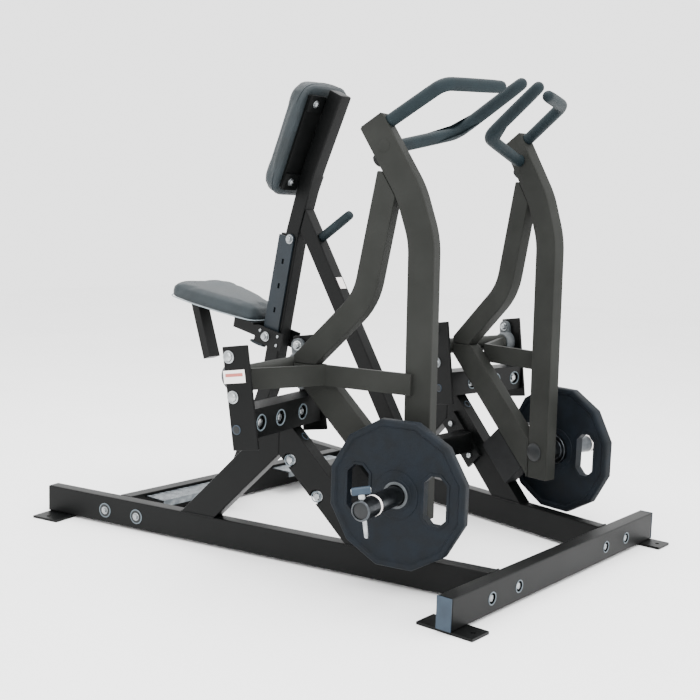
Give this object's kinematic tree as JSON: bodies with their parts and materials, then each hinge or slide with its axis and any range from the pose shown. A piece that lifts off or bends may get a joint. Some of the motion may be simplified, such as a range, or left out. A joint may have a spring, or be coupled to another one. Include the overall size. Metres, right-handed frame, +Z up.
{
  "type": "plate-loaded seated row machine",
  "caption": "Plate-loaded seated row machine with splayed steel frame, chest pad, height-adjustable seat and independently swinging arms that carry weight discs.",
  "frame": {"origin": "on the floor, at the middle of the footprint", "axes": "+X the way the user faces, towards the weight discs; +Y to the user's left; +Z up"},
  "size_m": [1.4686, 1.2438, 1.2766],
  "materials": {
    "frame_paint": "satin black powder coat",
    "arm_paint": "satin dark grey powder coat",
    "zinc_plate": "bright zinc plate",
    "grip_rubber": "matt moulded rubber",
    "pad_vinyl": "grained upholstery vinyl, matt",
    "disc_rubber": "matt moulded rubber over an iron core",
    "end_plastic": "matt moulded",
    "guide_paint": "satin blue-black powder coat",
    "tread_plate": "raised tread pattern",
    "bearing_iron": "painted casting"
  },
  "bodies": {
    "frame": {"chest_pad": "pad_vinyl", "front_cross_tube": "frame_paint", "front_rail": "frame_paint", "grip_peg": "grip_rubber", "left_base_rail": "frame_paint", "left_bumper": "grip_rubber", "left_end_cap": "end_plastic", "left_footplate": "tread_plate", "left_forward_leg": "frame_paint", "left_inner_bearing": "bearing_iron", "left_inner_bracket": "frame_paint", "left_outer_bearing": "bearing_iron", "left_outer_bracket": "frame_paint", "left_pivot_beam": "frame_paint", "left_rear_foot": "frame_paint", "left_rear_leg": "frame_paint", "left_seat_guide": "guide_paint", "main_post": "frame_paint", "pad_mount": "frame_paint", "post_brace": "frame_paint", "rear_cross_tube": "frame_paint", "right_base_rail": "frame_paint", "right_bumper": "grip_rubber", "right_end_cap": "end_plastic", "right_footplate": "tread_plate", "right_forward_leg": "frame_paint", "right_inner_bearing": "bearing_iron", "right_inner_bracket": "frame_paint", "right_outer_bearing": "bearing_iron", "right_outer_bracket": "frame_paint", "right_pivot_beam": "frame_paint", "right_rear_foot": "frame_paint", "right_rear_leg": "frame_paint", "right_seat_guide": "guide_paint", "seat_rack": "frame_paint"},
    "seat": {"seat_carriage": "frame_paint", "seat_pad": "pad_vinyl", "seat_roller_bolt": "zinc_plate"},
    "seat_lever": {"seat_release_lever": "grip_rubber"},
    "right_arm": {"right_arm_front_tube": "arm_paint", "right_arm_rear_tube": "arm_paint", "right_arm_diagonal": "arm_paint", "right_arm_outrigger": "arm_paint", "right_upper_grip": "grip_rubber", "right_inner_grip": "grip_rubber", "right_horn": "zinc_plate"},
    "right_disc": {"right_weight_disc": "disc_rubber"},
    "right_pin": {"right_lock_pin": "zinc_plate"},
    "left_arm": {"left_arm_front_tube": "arm_paint", "left_arm_rear_tube": "arm_paint", "left_arm_diagonal": "arm_paint", "left_arm_outrigger": "arm_paint", "left_upper_grip": "grip_rubber", "left_inner_grip": "grip_rubber", "left_horn": "zinc_plate"},
    "left_disc": {"left_weight_disc": "disc_rubber"},
    "left_pin": {"left_lock_pin": "zinc_plate"}
  },
  "joints": [
    {"name": "seat_height", "type": "slide", "parent": "frame", "child": "seat", "axis": [0.1961, 0, 0.9806], "range_m": [0, 0.2]},
    {"name": "seat_release", "type": "hinge", "parent": "seat", "child": "seat_lever", "pos_m": [-0.394, 0, 0.4942], "axis": [0, 1, 0], "range_deg": [0, 16], "stiffness_Nm_per_rad": 0.6},
    {"name": "right_arm_swing", "type": "hinge", "parent": "frame", "child": "right_arm", "pos_m": [0.07282, -0.45402, 0.509], "axis": [0.185, -0.9827, 0], "range_deg": [0, 38]},
    {"name": "right_disc_slide", "type": "slide", "parent": "right_arm", "child": "right_disc", "axis": [0.185, -0.9827, 0], "range_m": [0, 0.13]},
    {"name": "right_pin_pull", "type": "slide", "parent": "right_arm", "child": "right_pin", "axis": [-0.1707, -0.0321, 0.9848], "range_m": [0, 0.092]},
    {"name": "left_arm_swing", "type": "hinge", "parent": "frame", "child": "left_arm", "pos_m": [0.07282, 0.45402, 0.509], "axis": [-0.185, -0.9827, 0], "range_deg": [0, 38]},
    {"name": "left_disc_slide", "type": "slide", "parent": "left_arm", "child": "left_disc", "axis": [0.185, 0.9827, 0], "range_m": [0, 0.13]},
    {"name": "left_pin_pull", "type": "slide", "parent": "left_arm", "child": "left_pin", "axis": [-0.1707, 0.0321, 0.9848], "range_m": [0, 0.092]}
  ]
}
